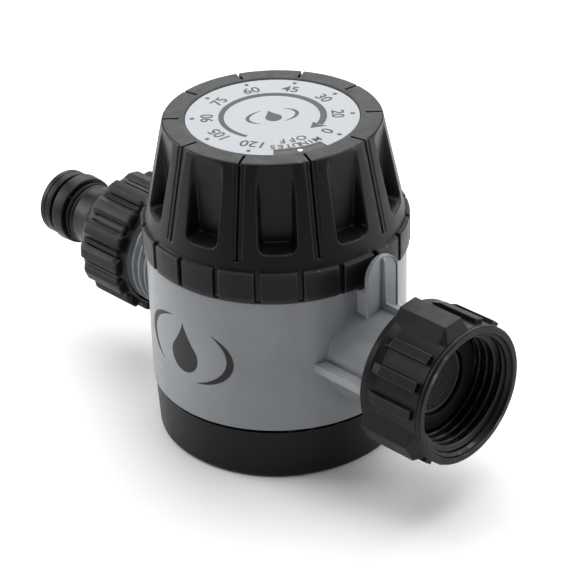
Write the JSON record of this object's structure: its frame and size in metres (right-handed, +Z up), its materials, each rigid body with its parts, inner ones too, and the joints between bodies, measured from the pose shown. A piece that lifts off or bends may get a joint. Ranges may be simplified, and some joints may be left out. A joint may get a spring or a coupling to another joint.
{
  "type": "mechanical hose watering timer",
  "caption": "Wind-up hose watering timer: round body, ribbed dial knob with minute scale, swivel hose nut inlet, threaded spout with click-connector adaptor, spring clock over a valve inside.",
  "frame": {"origin": "on the body's axis, at the underside of the base cap", "axes": "+Z up the body's axis to the dial, +X out of the inlet, -X out of the outlet"},
  "size_m": [0.1401, 0.0628, 0.0796],
  "materials": {
    "housing_grey": "satin moulded",
    "moulded_black": "satin moulded",
    "label_silver": "printed film",
    "rubber": "matte",
    "brass": "machined",
    "steel": "zinc plated or blued",
    "acetal": "natural"
  },
  "bodies": {
    "housing": {"housing": "housing_grey", "base_cap": "moulded_black", "base_screw_1": "steel", "base_screw_2": "steel", "base_screw_3": "steel", "base_screw_4": "steel", "lower_plate": "brass", "upper_plate": "brass", "clock_pillar_1": "brass", "clock_pillar_2": "brass", "clock_pillar_3": "brass", "clock_screw_1": "steel", "clock_screw_2": "steel", "clock_screw_3": "steel", "spring_barrel": "brass", "barrel_lid": "brass", "mainspring": "steel", "hairspring": "steel", "valve_seat": "brass", "gland_washer": "steel", "valve_bonnet": "acetal", "bonnet_seal": "rubber", "stem_seal": "rubber", "return_spring": "steel", "inlet_washer": "rubber", "inlet_screen": "steel"},
    "dial": {"knob": "moulded_black", "dial_label": "label_silver", "knob_screw": "steel", "timer_shaft": "steel", "timer_cam": "acetal", "great_wheel": "brass"},
    "second_wheel": {"second_wheel": "brass"},
    "third_wheel": {"third_wheel": "brass"},
    "escape_wheel": {"escape_wheel": "brass"},
    "pallet_lever": {"pallet_lever": "steel"},
    "balance_wheel": {"balance_wheel": "brass"},
    "valve": {"valve_stem": "brass", "valve_disc": "rubber"},
    "inlet_nut": {"inlet_nut": "moulded_black"},
    "outlet_washer": {"outlet_washer": "rubber"},
    "outlet_adaptor": {"outlet_adaptor": "moulded_black", "nipple_seal_1": "rubber", "nipple_seal_2": "rubber"}
  },
  "joints": [
    {"name": "knob_turn", "type": "hinge", "parent": "housing", "child": "dial", "pos_m": [0, 0, 0.048], "axis": [0, 0, 1], "range_deg": [-299, 25]},
    {"name": "second_wheel_turn", "type": "hinge", "parent": "housing", "child": "second_wheel", "pos_m": [0.00958, 0.00803, 0.05], "axis": [0, 0, 1], "range_deg": [-101, 1197]},
    {"name": "third_wheel_turn", "type": "hinge", "parent": "housing", "child": "third_wheel", "pos_m": [0.00261, 0.01273, 0.05], "axis": [0, 0, 1], "range_deg": [-3589, 301]},
    {"name": "escape_wheel_turn", "type": "hinge", "parent": "housing", "child": "escape_wheel", "pos_m": [-0.00497, 0.01223, 0.05], "axis": [0, 0, 1], "range_deg": [-841, 10048]},
    {"name": "pallet_rock", "type": "hinge", "parent": "housing", "child": "pallet_lever", "pos_m": [-0.01143, 0.00718, 0.05], "axis": [0, 0, 1], "range_deg": [-3, 3]},
    {"name": "balance_swing", "type": "hinge", "parent": "housing", "child": "balance_wheel", "pos_m": [-0.01248, -0.00075, 0.05], "axis": [0, 0, 1], "range_deg": [-120, 120], "stiffness_Nm_per_rad": 0.00001},
    {"name": "valve_lift", "type": "slide", "parent": "housing", "child": "valve", "axis": [0, 0, 1], "range_m": [-0.00241, 0.00021], "deforming": ["return_spring"]},
    {"name": "inlet_nut_swivel", "type": "hinge", "parent": "housing", "child": "inlet_nut", "pos_m": [0.04245, 0, 0.02986], "axis": [1, 0, 0], "continuous": true},
    {"name": "outlet_advance", "type": "slide", "parent": "housing", "child": "outlet_washer", "axis": [-1, 0, 0], "range_m": [0, 0.0089]},
    {"name": "adaptor_turn", "type": "hinge", "parent": "outlet_washer", "child": "outlet_adaptor", "pos_m": [-0.039, 0, 0.02986], "axis": [-1, 0, 0], "range_deg": [0, 1440]}
  ],
  "couplings": [
    {"joint": "second_wheel_turn", "follows": "knob_turn", "ratio": -4},
    {"joint": "third_wheel_turn", "follows": "knob_turn", "ratio": 12},
    {"joint": "escape_wheel_turn", "follows": "knob_turn", "ratio": -33.6},
    {"joint": "valve_lift", "follows": "knob_turn", "m_per_rad": 0.0004599},
    {"joint": "outlet_advance", "follows": "adaptor_turn", "m_per_rad": 0.00035157}
  ]
}
